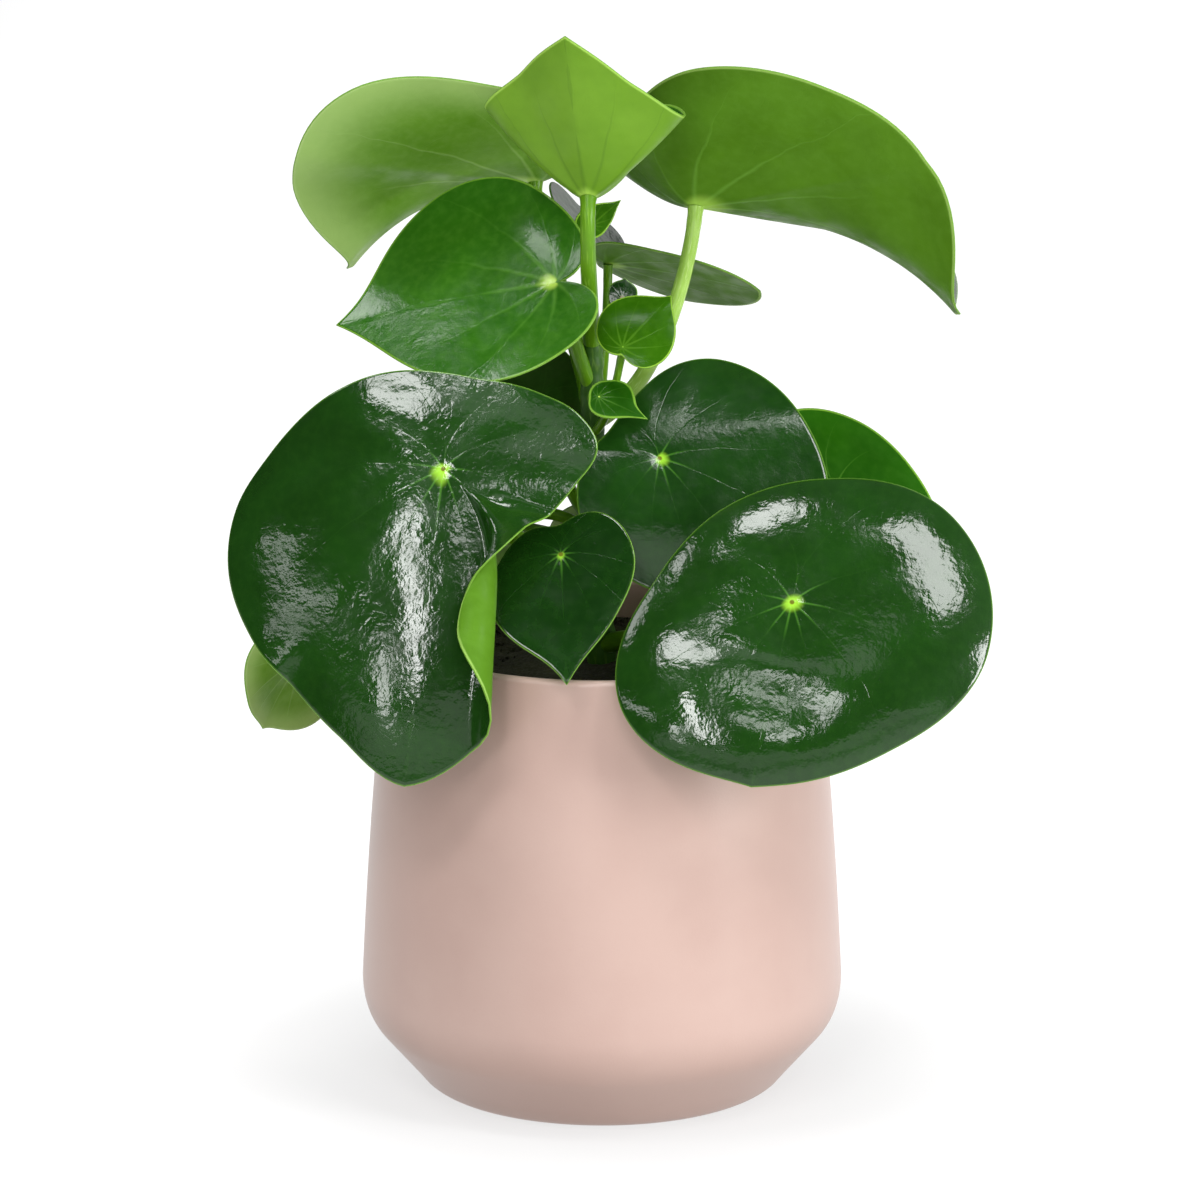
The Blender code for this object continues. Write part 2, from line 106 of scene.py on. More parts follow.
# Where each leaf's stalk meets the blade, which way its upper face looks, where its tip points and how far
# the tip is drawn out. Reach and bend run round the blade in equal turns from the tip. Base is the height at
# which the stalk leaves the stem, and stalk is its radius under the blade.
LEAVES = {
    "top_left": dict(
        at=(-20, 34, 269), facing=(177, 70), tip=80, point=6, fold=0.35, base=217, stalk=2.0,
        reach=(60, 75, 80, 55, 36, 26, 22, 22, 28, 42, 60, 74),
        bend=(-55, -10, 16, 28, 34, 40, 45, 45, 45, 45, 40, 0),
    ),
    "crown": dict(
        at=(-4, -24, 275), facing=(177, 51), tip=173, point=5, fold=0.3, base=227, stalk=2.1,
        reach=(49, 41, 38, 36, 28, 24, 22, 23, 27, 34, 40, 42),
        bend=(40, 34, 32, 72, 67, 64, 62, 64, 66, 70, 45, 48),
    ),
    "top_right": dict(
        at=(28, 26, 263), facing=(179, 62), tip=-90, point=6, fold=0.35, base=202,
        leave=12, arrive=(-2, -9, -21), stalk=2.1,
        reach=(83, 84, 74, 62, 50, 34, 26, 30, 42, 60, 72, 80),
        bend=(-53, 0, 35, 42, 42, 42, 42, 42, 39, 33, 20, -2),
    ),
    "upper_left": dict(
        at=(-14, -16, 248), facing=(-22, 42), tip=-75, point=13, notch=0.65, base=213, stalk=1.9,
        reach=(56, 41, 29, 20, 6, 14, 27, 55),
        bend=(-9, -1, 14, 17, 7, 13, 20, -10),
    ),
    "front_left": dict(
        at=(-46, -51, 200), facing=(0, 24), tip=-7, point=2, base=139, stalk=2.4,
        reach=(
            91, 80, 60.5, 44, 32, 34, 38.5, 45, 42.5, 36.5, 32, 29,
            28.5, 29.5, 32, 35.5, 40, 46.5, 55.5, 66.5, 73.5, 76, 77, 83,
        ),
        bend=(-16, -14, -6, 0, -7, -8, -8, -8, -16, -38, -40, -24),
        margin=19, curl=(-150, 20, 225, 200, 60, 0, 0, 0, 0, 0, 0, 0, 0, 0, 0, 0, 0, 0, 0, 0, 0, 0, 0, -150),
    ),
    "front_right": dict(
        at=(55, -62, 163), facing=(3, 35), tip=-14, point=1.5, droop=2.4, base=134, leave=20, stalk=2.4,
        reach=(55, 52.5, 59.5, 56.5, 41.5, 36.5, 40.5, 59.5),
        bend=(-34, -38, -24, -20, -20, -22, -24, -34),
    ),
    "centre_right": dict(
        at=(17, -20, 196), facing=(9, 37), tip=11, point=3, base=178, stalk=2.0,
        reach=(44, 53, 46, 39, 22, 17, 25, 36),
        bend=(-12, -6, 0, -8, -4, -1, 3, -8),
    ),
    "right_behind": dict(
        at=(70, 8, 180), facing=(29, 40), tip=7, point=3, base=166, stalk=1.9,
        reach=(41, 37, 28, 27, 28, 30, 34, 38),
        bend=(-15, -8, 2, -2, 0, 0, 8, -8),
    ),
    "front_low": dict(
        at=(-12, -49, 174), facing=(-4, 39.5), tip=5, point=10, base=148, stalk=1.3,
        reach=(31.5, 24, 21, 17.5, 9.5, 12, 17, 28),
        bend=(-2, 0, 3, 2, 0, 1, 3, 1),
    ),
    "young": dict(
        at=(6, -23, 230), facing=(-3, 36), tip=142, point=4, base=199,
        leave=20, arrive=(-1, 4, -7), stalk=1.1,
        reach=(18.5, 16, 10, 5.3, 3, 3, 10, 15),
        bend=(-12, -10, -8, -8, 0, -8, -8, -11),
    ),
    "bud": dict(
        at=(-1, -22, 215), facing=(3, 38), tip=63, point=6, base=205, stalk=0.8,
        reach=(9.8, 10, 6, 4, 3, 3, 5, 7),
        bend=(-4, -7, -4, 0, 0, 0, -4, -6),
    ),
    "back_thin": dict(
        at=(2, 50, 241), facing=(158, 55), tip=-85, point=1, base=192,
        leave=10, arrive=(0, 0, -1), stalk=1.3,
        reach=(48, 33, 12, 6, 4, 8, 13, 25),
        bend=(-10, -1, 8, 6, 0, 4, 4, -8),
    ),
    "left_behind": dict(
        at=(-21, 20, 202), facing=(-21, 41), tip=-22, point=3, base=170, leave=35, stalk=1.6,
        reach=(33, 28, 20, 15, 20, 26, 27, 30),
        bend=(-15, -8, 8, 0, 0, 0, 8, -8),
    ),
    "low_left": dict(
        at=(-91, 14, 127), facing=(231, 34), tip=10, point=2, base=166, arrive=(6, -2, 5), stalk=1.5,
        reach=(25, 22, 23, 26, 20, 21, 26, 33),
        bend=(-17, -10, 18, 8, -6, 0, 5, -26),
    ),
    "small_behind": dict(
        at=(6, 5, 239), facing=(5, 20), tip=170, point=1, base=222, stalk=0.8,
        reach=(5, 5, 4, 4, 3, 4, 4, 5),
        bend=(-6, -4, 0, 0, 0, 0, 0, -4),
    ),
    "back_grey": dict(
        at=(-4, 62, 249), facing=(73, 39), tip=-33, point=2, base=194, leave=68, stalk=1.5,
        reach=(8, 11, 18, 13, 9, 18, 16, 10),
        bend=(-10, -4, 5, 0, 0, 5, 3, -4),
    ),
    "shoot": dict(
        at=(-3, 10, 260), facing=(15, 20), tip=126, point=4, base=223, stalk=0.8,
        reach=(8, 6, 5, 5, 4, 4, 4, 5),
        bend=(-6, -4, 0, 0, 0, 0, 0, -4),
    ),
    "far_left": dict(
        at=(-48, 50, 170), facing=(202, 42), tip=12, point=5, base=160, leave=30, stalk=1.9,
        reach=(42, 38, 34, 30, 24, 30, 34, 38),
        bend=(-22, -10, 12, 2, -6, 2, 12, -10),
    ),
    "far_right": dict(
        at=(50, 40, 170), facing=(146, 40), tip=-14, point=5, base=158, stalk=1.9,
        reach=(38, 34, 30, 27, 21, 27, 31, 35),
        bend=(-22, -10, 12, 2, -6, 2, 12, -10),
    ),
    "far_low": dict(
        at=(7, 66, 152), facing=(178, 38), tip=4, point=5, base=148, stalk=1.6,
        reach=(30, 27, 23, 20, 16, 20, 23, 27),
        bend=(-18, -8, 8, 2, -4, 2, 8, -8),
    ),
    "far_bottom": dict(
        at=(-40, 56, 150), facing=(206, 36), tip=-6, point=4, base=140, stalk=1.5,
        reach=(28, 25, 21, 18, 14, 18, 21, 25),
        bend=(-18, -8, 8, 2, -4, 2, 8, -8),
    ),
}
# What each blade is like: the slot that it stands for, its upper face, its underside, how deep its quilting
# is in mm, and how finely it is drawn, as spokes and rings
LOOKS = {
    "top_left": ("leaf_underside", "full_grown", "pale", 0.25, 168, 44),
    "crown": ("leaf_underside", "half_grown", "lime", 0.15, 144, 40),
    "top_right": ("leaf_underside", "full_grown", "bright", 0.25, 168, 44),
    "upper_left": ("leaf_young", "half_grown", "pale", 0.3, 168, 44),
    "front_left": ("leaf_old", "full_grown", "bright", 0.4, 200, 60),
    "front_right": ("leaf_old", "full_grown", "bright", 0.3, 200, 52),
    "centre_right": ("leaf_old", "smooth_grown", "pale", 0.1, 168, 44),
    "right_behind": ("leaf_young", "half_grown_painted_shade", "pale", 0.2, 120, 32),
    "front_low": ("leaf_old", "deep_shade_painted", "pale", 0.1, 120, 32),
    "young": ("leaf_young", "young", "lime", 0.12, 96, 26),
    "bud": ("leaf_young", "half_grown_painted_shade", "lime", 0.03, 96, 24),
    "back_thin": ("leaf_young", "half_grown", "bright", 0.15, 120, 32),
    "left_behind": ("leaf_old", "full_grown", "pale", 0.25, 120, 32),
    "low_left": ("leaf_young", "half_grown", "pale", 0.2, 120, 32),
    "small_behind": ("leaf_old", "deep_shade_painted", "pale", 0.05, 72, 18),
    "back_grey": ("leaf_old", "full_grown", "pale", 0.2, 120, 32),
    "shoot": ("leaf_young", "young", "lime", 0.05, 72, 18),
}
FAR_LOOK = ("leaf_old", "full_grown", "pale", 0.3, 120, 32)
LOOKS |= {name: FAR_LOOK for name in LEAVES if name.startswith("far_")}
# Soft steps in the skin, in mm: where they are on the flat blade, how long and wide, and how far they drop
STEPS = {"front_right": ((25, 1), 10, 22, 1.4)}
# Main veins of a palmate blade, as shares of the half turn from tip to heel; they lean towards the tip
VEINS = (0.0, 0.15, 0.33, 0.54, 0.79, 1.05, 1.3)
VEIN_LEAN = 0.28
VEIN_SWAY = 0.05
# How strongly the skin lifts in panels between the veins and in broad and fine puckers, and the puckers'
# waves in a mm and layer of the noise
PANEL_LIFT = 0.03
BROAD_LIFT = 0.4
FINE_LIFT = 0.12
PUCKER_WAVES = ((0.05, 0), (0.15, 7))

# Patterns on a blade, as cells in the 100 mm that are one unit of its map
MAP_MM = 100.0
SWAY_CELLS = 6.0  # veins sway over some 17 mm
CLOUD_CELLS = 4.5  # lighter and darker clouds, 22 mm
FLECK_CELLS = 34.0  # mottled tissue between the veins, 3 mm
WAX_CELLS = 11.0  # thick and thin wax, 9 mm
PUCKER_CELLS = 40.0  # soft puckers, 2.5 mm
RIM_CELLS = 20.0  # the rim's pale and green stretches, 5 mm
VEINLET_NETS = ((9.0, 0.5), (21.0, 0.3))  # sunk nets, 11 and 5 mm wide, and how deep each is
# Patterns on the other pieces, as cells in a metre
STALK_CELLS = 60.0  # clouds along a stalk, 17 mm
RIPPLE_CELLS = 90.0  # uneven growth of stalks and stem, 11 mm
PEAT_CELLS = 90.0  # drier and damper mix, 11 mm
FIBRE_CELLS = 700.0  # peat fibres, 1.4 mm
ENGOBE_CELLS = 22.0  # thicker and thinner coat, 45 mm
SPRAY_CELLS = 1500.0  # sprayed grain, drawn at 0.7 mm where the real one is 0.4 mm and too fine to show

# The lights: name, azimuth from the front to the right, elevation, width and height in degrees, and radiance.
# Waxed leaves mirror these boxes, so they hang where the leaves shine.
SOFTBOXES = (
    # on the left, for the drooping leaf there and the pot's side
    ("StripLeft", -52, 16, 38, 2.4, 6),
    ("BoxLeft", -60, 64, 8, 7, 10),
    # in front, for the leaves that hang over the rim
    ("StripFront", -12, 22, 4, 19, 24),
    ("TopFront", -19, 45, 18, 8, 18),
    ("RingTop", -0.5, 52.3, 5, 2.6, 18),
    ("RingLow", 6, 31, 12, 4, 9),
    ("LowFront", 13, 23, 10, 5, 13),
    ("LowLeft", -22, 12, 4, 8, 14),
    ("DimFront", 6, 45.5, 13, 8, 1.0),
    # above, and on the right
    ("TopBox", -1, 75, 11, 11, 18),
    ("PatchRight", 33.5, 63, 2.4, 2.6, 5),
    ("BoxRight", 50, 53, 12, 22, 14),
    ("StripRight", 62, 12, 12, 26, 22),
    # softer ones for the sheen of the upper leaves, and paper that lightens the pot
    ("DimLeft", -106, 49, 16, 9, 9),
    ("DimSide", -72, 47, 9, 15, 7),
    ("DimRight", 20, 42, 7, 11, 1.2),
    ("PaperFront", 4, 4, 76, 9, 0.9),
    ("PaperBehind", 145, 13, 24, 16, 0.8),
)
SOFTBOX_DISTANCE = 1.5
SOFTBOX_AIM = 0.17
TABLE_REACH = 6.0
# Just under the pot's foot, so that the two don't share a plane
TABLE_HEIGHT = -0.0001

# Camera, in metres and degrees
CAMERA_DISTANCE = 2.0
CAMERA_ELEVATION = 14.24
CAMERA_AIM = (-0.0006, 0.1478)
SENSOR = 36
LENS = 200.61


# Nodes and materials

# Plain words for the nodes that are used most: Blender's name and the settings that go with it. A noise's
# values are its place, its cells and its detail, and a fade's are the value, its range and what it becomes.
KINDS = {
    word: ("ShaderNodeMath", {"operation": word.upper()})
    for word in ("add", "subtract", "multiply", "divide", "multiply_add", "absolute", "arctan2")
}
KINDS |= {
    "length": ("ShaderNodeVectorMath", {"operation": "LENGTH"}),
    "scale": ("ShaderNodeVectorMath", {"operation": "SCALE"}),
    "parts": ("ShaderNodeSeparateXYZ", {}),
    "mix": ("ShaderNodeMix", {"data_type": "RGBA"}),
    "fade": ("ShaderNodeMapRange", {"interpolation_type": "SMOOTHSTEP"}),
    "noise": ("ShaderNodeTexNoise", {}),
    "bump": ("ShaderNodeBump", {}),
    "place": ("ShaderNodeTexCoord", {}),
    "map": ("ShaderNodeUVMap", {}),
    "store": ("GeometryNodeStoreNamedAttribute", {}),
    "read": ("GeometryNodeInputNamedAttribute", {"data_type": "FLOAT"}),
    "random": ("FunctionNodeRandomValue", {"data_type": "FLOAT_VECTOR"}),
}


def colour(code):
    """An sRGB hex code as linear red, green, blue and alpha."""
    parts = [int(code[i : i + 2], 16) / 255 for i in (1, 3, 5)]
    return tuple(c / 12.92 if c <= 0.04045 else ((c + 0.055) / 1.055) ** 2.4 for c in parts) + (1.0,)


def fill(made, values):
    """Fills a node's inputs. A value is linked if it is a socket, and turned linear if it is a hex code."""
    for key, value in values.items():
        if isinstance(value, bpy.types.NodeSocket):
            made.id_data.links.new(value, made.inputs[key])
        elif isinstance(value, str) and value.startswith("#"):
            made.inputs[key].default_value = colour(value)
        else:
            made.inputs[key].default_value = value


def node(tree, kind, *values, out=0, **settings):
    """Adds a node with its settings and links. Values fill its open inputs in turn, or by name from a dict.
    It gives back one open output, by place or name, or with out=None the node itself."""
    kind, usual = KINDS.get(kind, (kind, {}))
    made = tree.nodes.new(kind)
    for key, value in {**usual, **settings}.items():
        setattr(made, key, value)
    if values and isinstance(values[0], dict):
        fill(made, values[0])
    else:
        places = [place for place, socket in enumerate(made.inputs) if socket.enabled]
        fill(made, dict(zip(places, values)))
    if out is None:
        return made
    return made.outputs[out] if isinstance(out, str) else [s for s in made.outputs if s.enabled][out]


def material(name, roughness, ior, specular=0.5):
    """A new material, with what is the same all over it set on its shader's own sockets. It comes with what
    adds a node to it, and with its shader."""
    made = bpy.data.materials.new(name)
    made.use_nodes = True
    shader = made.node_tree.nodes["Principled BSDF"]
    fill(shader, {"Roughness": roughness, "IOR": ior, "Specular IOR Level": specular})
    return made, partial(node, made.node_tree), shader


def leaf_places(new):
    """Where a point is on its leaf: its place on the map, mm from the stalk, share of the reach, mm from the
    rim, and mm from the nearest main vein."""
    plane = new("map", uv_map="LeafPlane")
    edges = new("parts", new("map", uv_map="LeafEdge"), out=None).outputs
    share = edges[0]
    rim = new("multiply", edges[1], MAP_MM)
    radius = new("multiply", new("length", plane), MAP_MM)
    flat = new("parts", plane, out=None).outputs
    turn = new("divide", new("absolute", new("arctan2", flat[1], flat[0])), math.pi)
    sway = new("multiply", new("subtract", new("noise", plane, SWAY_CELLS, 2.0), 0.5), VEIN_SWAY)
    lean = new("multiply_add", share, VEIN_LEAN, 1.0)
    place = new("add", new("multiply", turn, lean), sway)
    # a ramp that is 0 at each vein and highest half-way to the next
    ramp = new("ShaderNodeValToRGB", new("divide", place, VEINS[-1]), out=None)
    stops = ramp.color_ramp.elements
    widest = max(b - a for a, b in zip(VEINS, VEINS[1:])) / 2
    wanted = [(VEINS[0], 0.0)]
    for a, b in zip(VEINS, VEINS[1:]):
        wanted += [((a + b) / 2, (b - a) / 2 / widest), (b, 0.0)]
    while len(stops) < len(wanted):
        stops.new(0.5)
    for stop, (at, value) in zip(stops, wanted):
        stop.position = at / VEINS[-1]
        stop.color = (value, value, value, 1)
    vein = new("multiply", new("multiply", ramp.outputs[0], widest * math.pi), radius)
    return plane, radius, share, rim, vein


def leaf_skin(name, look):
    """One side of a blade. Its look holds its colours, its gloss, and how far and how strongly veins show."""
    made, new, shader = material(name, look["roughness"], ior=1.46, specular=look["specular"])
    plane, radius, share, rim, vein = leaf_places(new)
    cloud = new("noise", plane, CLOUD_CELLS, 3.0)
    tone = new("mix", new("fade", cloud, 0.3, 0.7), look["ground"], look["patch"])
    fleck = new("fade", new("noise", plane, FLECK_CELLS, 4.0), 0.35, 0.75)
    fleck = new("multiply", fleck, look["fleck"])
    tone = new("mix", fleck, tone, look["ray"])
    # painted light: a paler tone towards the rim stands in for the light on the outer blade
    painted_rim_light = new("fade", share, 0.65, 1.0, 0.0, look["painted_rim_light_share"])
    tone = new("mix", painted_rim_light, tone, look["painted_rim_light"])
    # a vein is widest at the stalk
    width = new("fade", share, 0.0, 1.0, look["vein_mm"], look["vein_mm"] * 0.35)
    line = new("subtract", 1.0, new("fade", vein, 0.0, width))
    reach = new("fade", share, look["ray_from"], look["ray_to"], look["ray_near"], look["ray_far"])
    tone = new("mix", new("multiply", line, reach), tone, look["ray"])
    # the spot over the stalk grows with its blade; its size is that on a blade of 60 mm half width
    spot = new("fade", new("multiply", share, 60.0), look["spot_mm"], look["spot_mm"] * 0.25)
    tone = new("mix", new("multiply", spot, look["spot_share"]), tone, look["spot"])
    # in the spot of a full-grown leaf is a brown dot some 1.4 mm wide
    dot = new("fade", radius, 0.9, 0.5, 0.0, look["dot_share"])
    tone = new("mix", dot, tone, "#5b4a1a")
    edge = new("fade", rim, look["edge_mm"], look["edge_mm"] * 0.3, 0.0, look["edge_share"])
    tone = new("mix", edge, tone, look["edge"])
    # the wax lies unevenly, so gloss comes and goes
    wax = new("noise", plane, WAX_CELLS, 5.0)
    gloss = new("fade", wax, 0.3, 0.75, look["roughness"] * 0.75, look["roughness"] * 1.5)
    # the skin is smooth, but for soft puckers, the grooves of the veins and the sunk nets of veinlets
    soft = new("multiply", new("noise", plane, PUCKER_CELLS, 2.0), look["pucker"])
    height = new("multiply_add", line, look["groove"], soft)
    for cells, deep in VEINLET_NETS:
        net = new("noise", {"Vector": plane, "Scale": cells, "Detail": 2.0, "Distortion": 0.8})
        net = new("absolute", new("subtract", net, 0.5))
        net = new("fade", net, 0.0, 0.035, -deep, 0.0)
        height = new("multiply_add", net, look["net"], height)
    bump = new("bump", {"Strength": 1.0, "Distance": 0.1 * MM, "Height": height})
    fill(shader, {"Base Color": tone, "Roughness": gloss, "Normal": bump})
    return made


# Cuticle of full-grown leaves: thick wax over dark, chlorophyll-rich tissue. It reads as deep green with
# hard, broken highlights, a lime spot over the stalk and a thin yellow line round the rim.
FULL_GROWN = dict(
    ground="#12310a", patch="#16390d", ray="#4f8a2c", fleck=0.03, roughness=0.1, pucker=0.9, net=0.12,
    groove=-0.1, vein_mm=0.5, ray_from=0.02, ray_to=0.24, ray_near=0.55, ray_far=0.03, spot="#93c834",
    spot_mm=4.2, spot_share=0.9, dot_share=0.85, edge="#4f7a26", edge_mm=0.5, edge_share=0.5,
    specular=0.5, painted_rim_light="#183d0e", painted_rim_light_share=0.0,
)
# The same on a leaf that grew flat and untouched: fewer puckers, so it reads as smooth and dark.
SMOOTH_GROWN = dict(FULL_GROWN, ground="#10300a", patch="#14380c", pucker=0.4, net=0.07)
# A copy of the same painted almost black-green: painted shade for the leaves deepest under the others.
PAINTED_DEEP_SHADE = dict(FULL_GROWN, ground="#0a2706", patch="#0e2e08", pucker=0.4, net=0.1, edge_share=0.2)
# Cuticle of half-grown leaves: thinner wax, so the green is brighter and the sheen softer.
HALF_GROWN = dict(
    ground="#1f5208", patch="#2a5f0d", ray="#6fa83e", fleck=0.1, roughness=0.16, pucker=0.7, net=0.1,
    groove=-0.2, vein_mm=1.3, ray_from=0.02, ray_to=0.6, ray_near=0.28, ray_far=0.06, spot="#b9dc5a",
    spot_mm=6.0, spot_share=0.8, dot_share=0.0, edge="#7fae3c", edge_mm=0.8, edge_share=0.7,
    specular=0.45, painted_rim_light="#2f6a16", painted_rim_light_share=0.2,
)
# The same behind other leaves, where the wax stays thin: hardly any gloss, and a darker, even green that is
# painted shade.
HALF_GROWN_PAINTED_SHADE = dict(
    HALF_GROWN, ground="#154004", patch="#1c4a06", pucker=0.2, net=0.05, specular=0.08, spot_mm=3.0,
    vein_mm=0.5, fleck=0.03, ray_near=0.2,
)
# Skin of newly opened leaves: almost no wax yet, tender yellow-green with a fine gloss.
YOUNG = dict(
    ground="#234c04", patch="#2a5706", ray="#6a9c2c", fleck=0.06, roughness=0.12, pucker=0.25, net=0.2,
    groove=-0.1, vein_mm=0.6, ray_from=0.02, ray_to=0.9, ray_near=0.22, ray_far=0.08, spot="#8cbc3c",
    spot_mm=2.0, spot_share=0.5, dot_share=0.0, edge="#8fb83c", edge_mm=0.5, edge_share=0.7,
    specular=0.1, painted_rim_light="#356806", painted_rim_light_share=0.0,
)
# Underside of the leaf at the crown: thin spongy tissue without wax, lime and matte; its brightness is partly
# painted light, the glow of light shining through it from above.
LIME = dict(
    ground="#5c861a", patch="#669022", ray="#4a7016", fleck=0.1, roughness=0.42, pucker=0.3, net=0.2,
    groove=0.5, vein_mm=1.1, ray_from=0.05, ray_to=1.0, ray_near=0.5, ray_far=0.25, spot="#b4de5c",
    spot_mm=7.0, spot_share=0.7, dot_share=0.0, edge="#a8cf60", edge_mm=0.8, edge_share=0.5,
    specular=0.2, painted_rim_light="#669022", painted_rim_light_share=0.0,
)
# Underside of old leaves: the same tissue in a darker, greener copy, with pale veins near the stalk. Which
# copy an underside takes stands in for the light on it, painted light and shade.
BRIGHT = dict(
    LIME, ground="#466f12", patch="#507c1a", ray="#6a9a38", fleck=0.12, roughness=0.45, net=0.3,
    vein_mm=1.3, ray_from=0.02, ray_to=0.85, ray_near=0.6, ray_far=0.12, spot_mm=9.0, edge="#9cbf62",
    edge_mm=0.9, edge_share=0.6, specular=0.08, painted_rim_light="#507c1a",
)
# A lighter, greyer copy of the same tissue, its rim painted paler still: painted light.
PALE = dict(
    BRIGHT, ground="#53801c", patch="#5f8b28", ray="#8eb05e", roughness=0.42, vein_mm=1.1, ray_to=0.9,
    ray_near=0.5, ray_far=0.15, spot="#b8dc70", spot_mm=8.0, edge="#9cb872", edge_share=0.5,
    specular=0.12, painted_rim_light="#9fbc70", painted_rim_light_share=0.65,
)
SKINS = {
    "full_grown": ("WaxyCuticleFullGrown", FULL_GROWN),
    "smooth_grown": ("WaxyCuticleSmooth", SMOOTH_GROWN),
    "deep_shade_painted": ("WaxyCuticlePaintedDeepShade", PAINTED_DEEP_SHADE),
    "half_grown_painted_shade": ("WaxyCuticleHalfPaintedShade", HALF_GROWN_PAINTED_SHADE),
    "half_grown": ("WaxyCuticleHalfGrown", HALF_GROWN),
    "young": ("TenderSkinYoung", YOUNG),
    "lime": ("SpongyUndersideLime", LIME),
    "bright": ("SpongyUndersideBright", BRIGHT),
    "pale": ("SpongyUndersidePale", PALE),
}
# Skins of stalks and stem: ground, lighter clouds, streaks and roughness
STALK_SKINS = {
    # full of sap: a clear green that shines a little
    "green": ("SappyStalkSkin", "#4f7d0c", "#5c8a14", "#7da636", 0.3),
    # a pale yellow-green copy painted lighter, painted light for a stalk that stands in the light, and
    # glossier
    "painted_lighter": ("SappyStalkSkinPaintedLight", "#8ab046", "#98bc58", "#bcd888", 0.26),
    # the stem, which turns corky: darker, with pale cracks and hardly a sheen
    "corky": ("OldStemSkin", "#2a4f12", "#39641a", "#67892f", 0.5),
}


def rim_skin():
    """The blade's edge, where both skins meet over pale tissue: a thin yellow-green line, almost matte."""
    made, new, shader = material("LeafRimTissue", roughness=0.35, ior=1.45, specular=0.15)
    cloud = new("noise", new("map", uv_map="LeafPlane"), RIM_CELLS, 2.0)
    fill(shader, {"Base Color": new("mix", cloud, "#5a8428", "#739c3c")})
    return made


def stalk_skin(name, ground, light, streak, roughness):
    """Smooth skin over watery tissue, with faint lengthwise streaks about 6 mm long and 0.5 mm wide."""
    made, new, shader = material(name, roughness, ior=1.42, specular=0.3)
    run = new("map", uv_map="StalkRun")
    drawn_out = new("ShaderNodeMapping", {"Vector": run, "Scale": (0.6, 9.0, 1.0)})
    lines = new("noise", drawn_out, 3.0, 3.0)
    where = new("place", out="Object")
    cloud = new("noise", where, STALK_CELLS, 2.0)
    tone = new("mix", new("fade", cloud, 0.35, 0.7), ground, light)
    tone = new("mix", new("fade", lines, 0.52, 0.7, 0.0, 0.55), tone, streak)
    bump = new("bump", {"Strength": 0.25, "Distance": 0.3 * MM, "Height": lines})
    fill(shader, {"Base Color": tone, "Normal": bump})
    return made


def potting_mix():
    """Damp peat and fine bark, sieved: near black, with browner fibres and a dull wet sheen in places."""
    made, new, shader = material("DampPeatMix", roughness=0.9, ior=1.45)
    where = new("place", out="Object")
    grain = new("noise", where, FIBRE_CELLS, 4.0)
    cloud = new("noise", where, PEAT_CELLS, 3.0)
    tone = new("mix", new("fade", cloud, 0.35, 0.7), "#1c170f", "#2c2a18")
    tone = new("mix", new("fade", grain, 0.55, 0.8, 0.0, 0.6), tone, "#4e4a2a")
    damp = new("fade", grain, 0.3, 0.7, 0.65, 0.95)
    bump = new("bump", {"Strength": 0.8, "Distance": 0.8 * MM, "Height": grain})
    fill(shader, {"Base Color": tone, "Roughness": damp, "Normal": bump})
    return made


def blush_ceramic():
    """Stoneware cast in a mould and sprayed with a matte blush engobe: an even chalky pink with a fine
    grain, a touch lighter along the top of the rim as a painted highlight, and darker towards the
    foot as painted shade."""
    made, new, shader = material("MatteBlushStoneware", roughness=0.55, ior=1.5)
    where = new("place", out="Object")
    cloud = new("noise", where, ENGOBE_CELLS, 4.0)
    speck = new("noise", where, SPRAY_CELLS, 2.0)
    tone = new("mix", new("fade", cloud, 0.35, 0.65), "#b1958b", "#b69b91")
    tone = new("mix", new("fade", speck, 0.6, 0.8, 0.0, 0.18), tone, "#a98b80")
    height = new("parts", where, out="Z")
    # painted highlight: the top of the rim is painted lighter
    painted_rim_highlight = new("fade", height, (POT_HEIGHT - 1.6) * MM, (POT_HEIGHT - 0.5) * MM, 0.0, 0.35)
    tone = new("mix", painted_rim_highlight, tone, "#efd3c9")
    # painted shade: the colour darkens under the belly towards the foot
    painted_foot_shade = new("fade", height, 12 * MM, 34 * MM, 0.42, 0.0)
    tone = new("mix", painted_foot_shade, tone, "#8a7065")
    sheen = new("fade", cloud, 0.3, 0.7, 0.3, 0.35)
    bump = new("bump", {"Strength": 0.12, "Distance": 0.2 * MM, "Height": speck})
    fill(shader, {"Base Color": tone, "Roughness": sheen, "Normal": bump})
    return made


def put(name, data):
    """A new object in the scene."""
    made = bpy.data.objects.new(name, data)
    bpy.context.scene.collection.objects.link(made)
    return made


def sheet(name, height, create, shape):
    """A level mesh at a height in metres."""
    work = bmesh.new()
    create(work, **shape)
    mesh = bpy.data.meshes.new(name)
    work.to_mesh(mesh)
    work.free()
    for vert in mesh.vertices:
        vert.co.z = height
    return mesh


# Blades


def round_values(values, turns):
    """Equally spaced values round a blade, joined by a smooth closed curve and read at each turn."""
    values = np.asarray(values, float)
    count = len(values)
    place = (turns % 360) / 360 * count
    start = np.floor(place).astype(int) % count
    part = place - np.floor(place)
    a, b, c, d = (values[(start + k) % count] for k in (-1, 0, 1, 2))
    cubic = 3 * (b - c) + d - a
    return b + 0.5 * part * (c - a + part * (2 * a - 5 * b + 4 * c - d + part * cubic))


def reach_at(leaf, turns):
    """How far the flat blade reaches at each turn, with its drawn-out tip and its notch at the heel."""
    from_tip = np.minimum(turns % 360, 360 - turns % 360)
    reach = round_values(leaf["reach"], turns) + leaf["point"] * np.exp(-from_tip / TIP_WIDTH)
    return reach * (1 - leaf.get("notch", 0) * np.exp(-(((180 - from_tip) / NOTCH_WIDTH) ** 2)))


def spokes_at(turns):
    """Unit steps along each turn, in the blade's plane."""
    return np.stack([np.cos(np.radians(turns)), np.sin(np.radians(turns))])


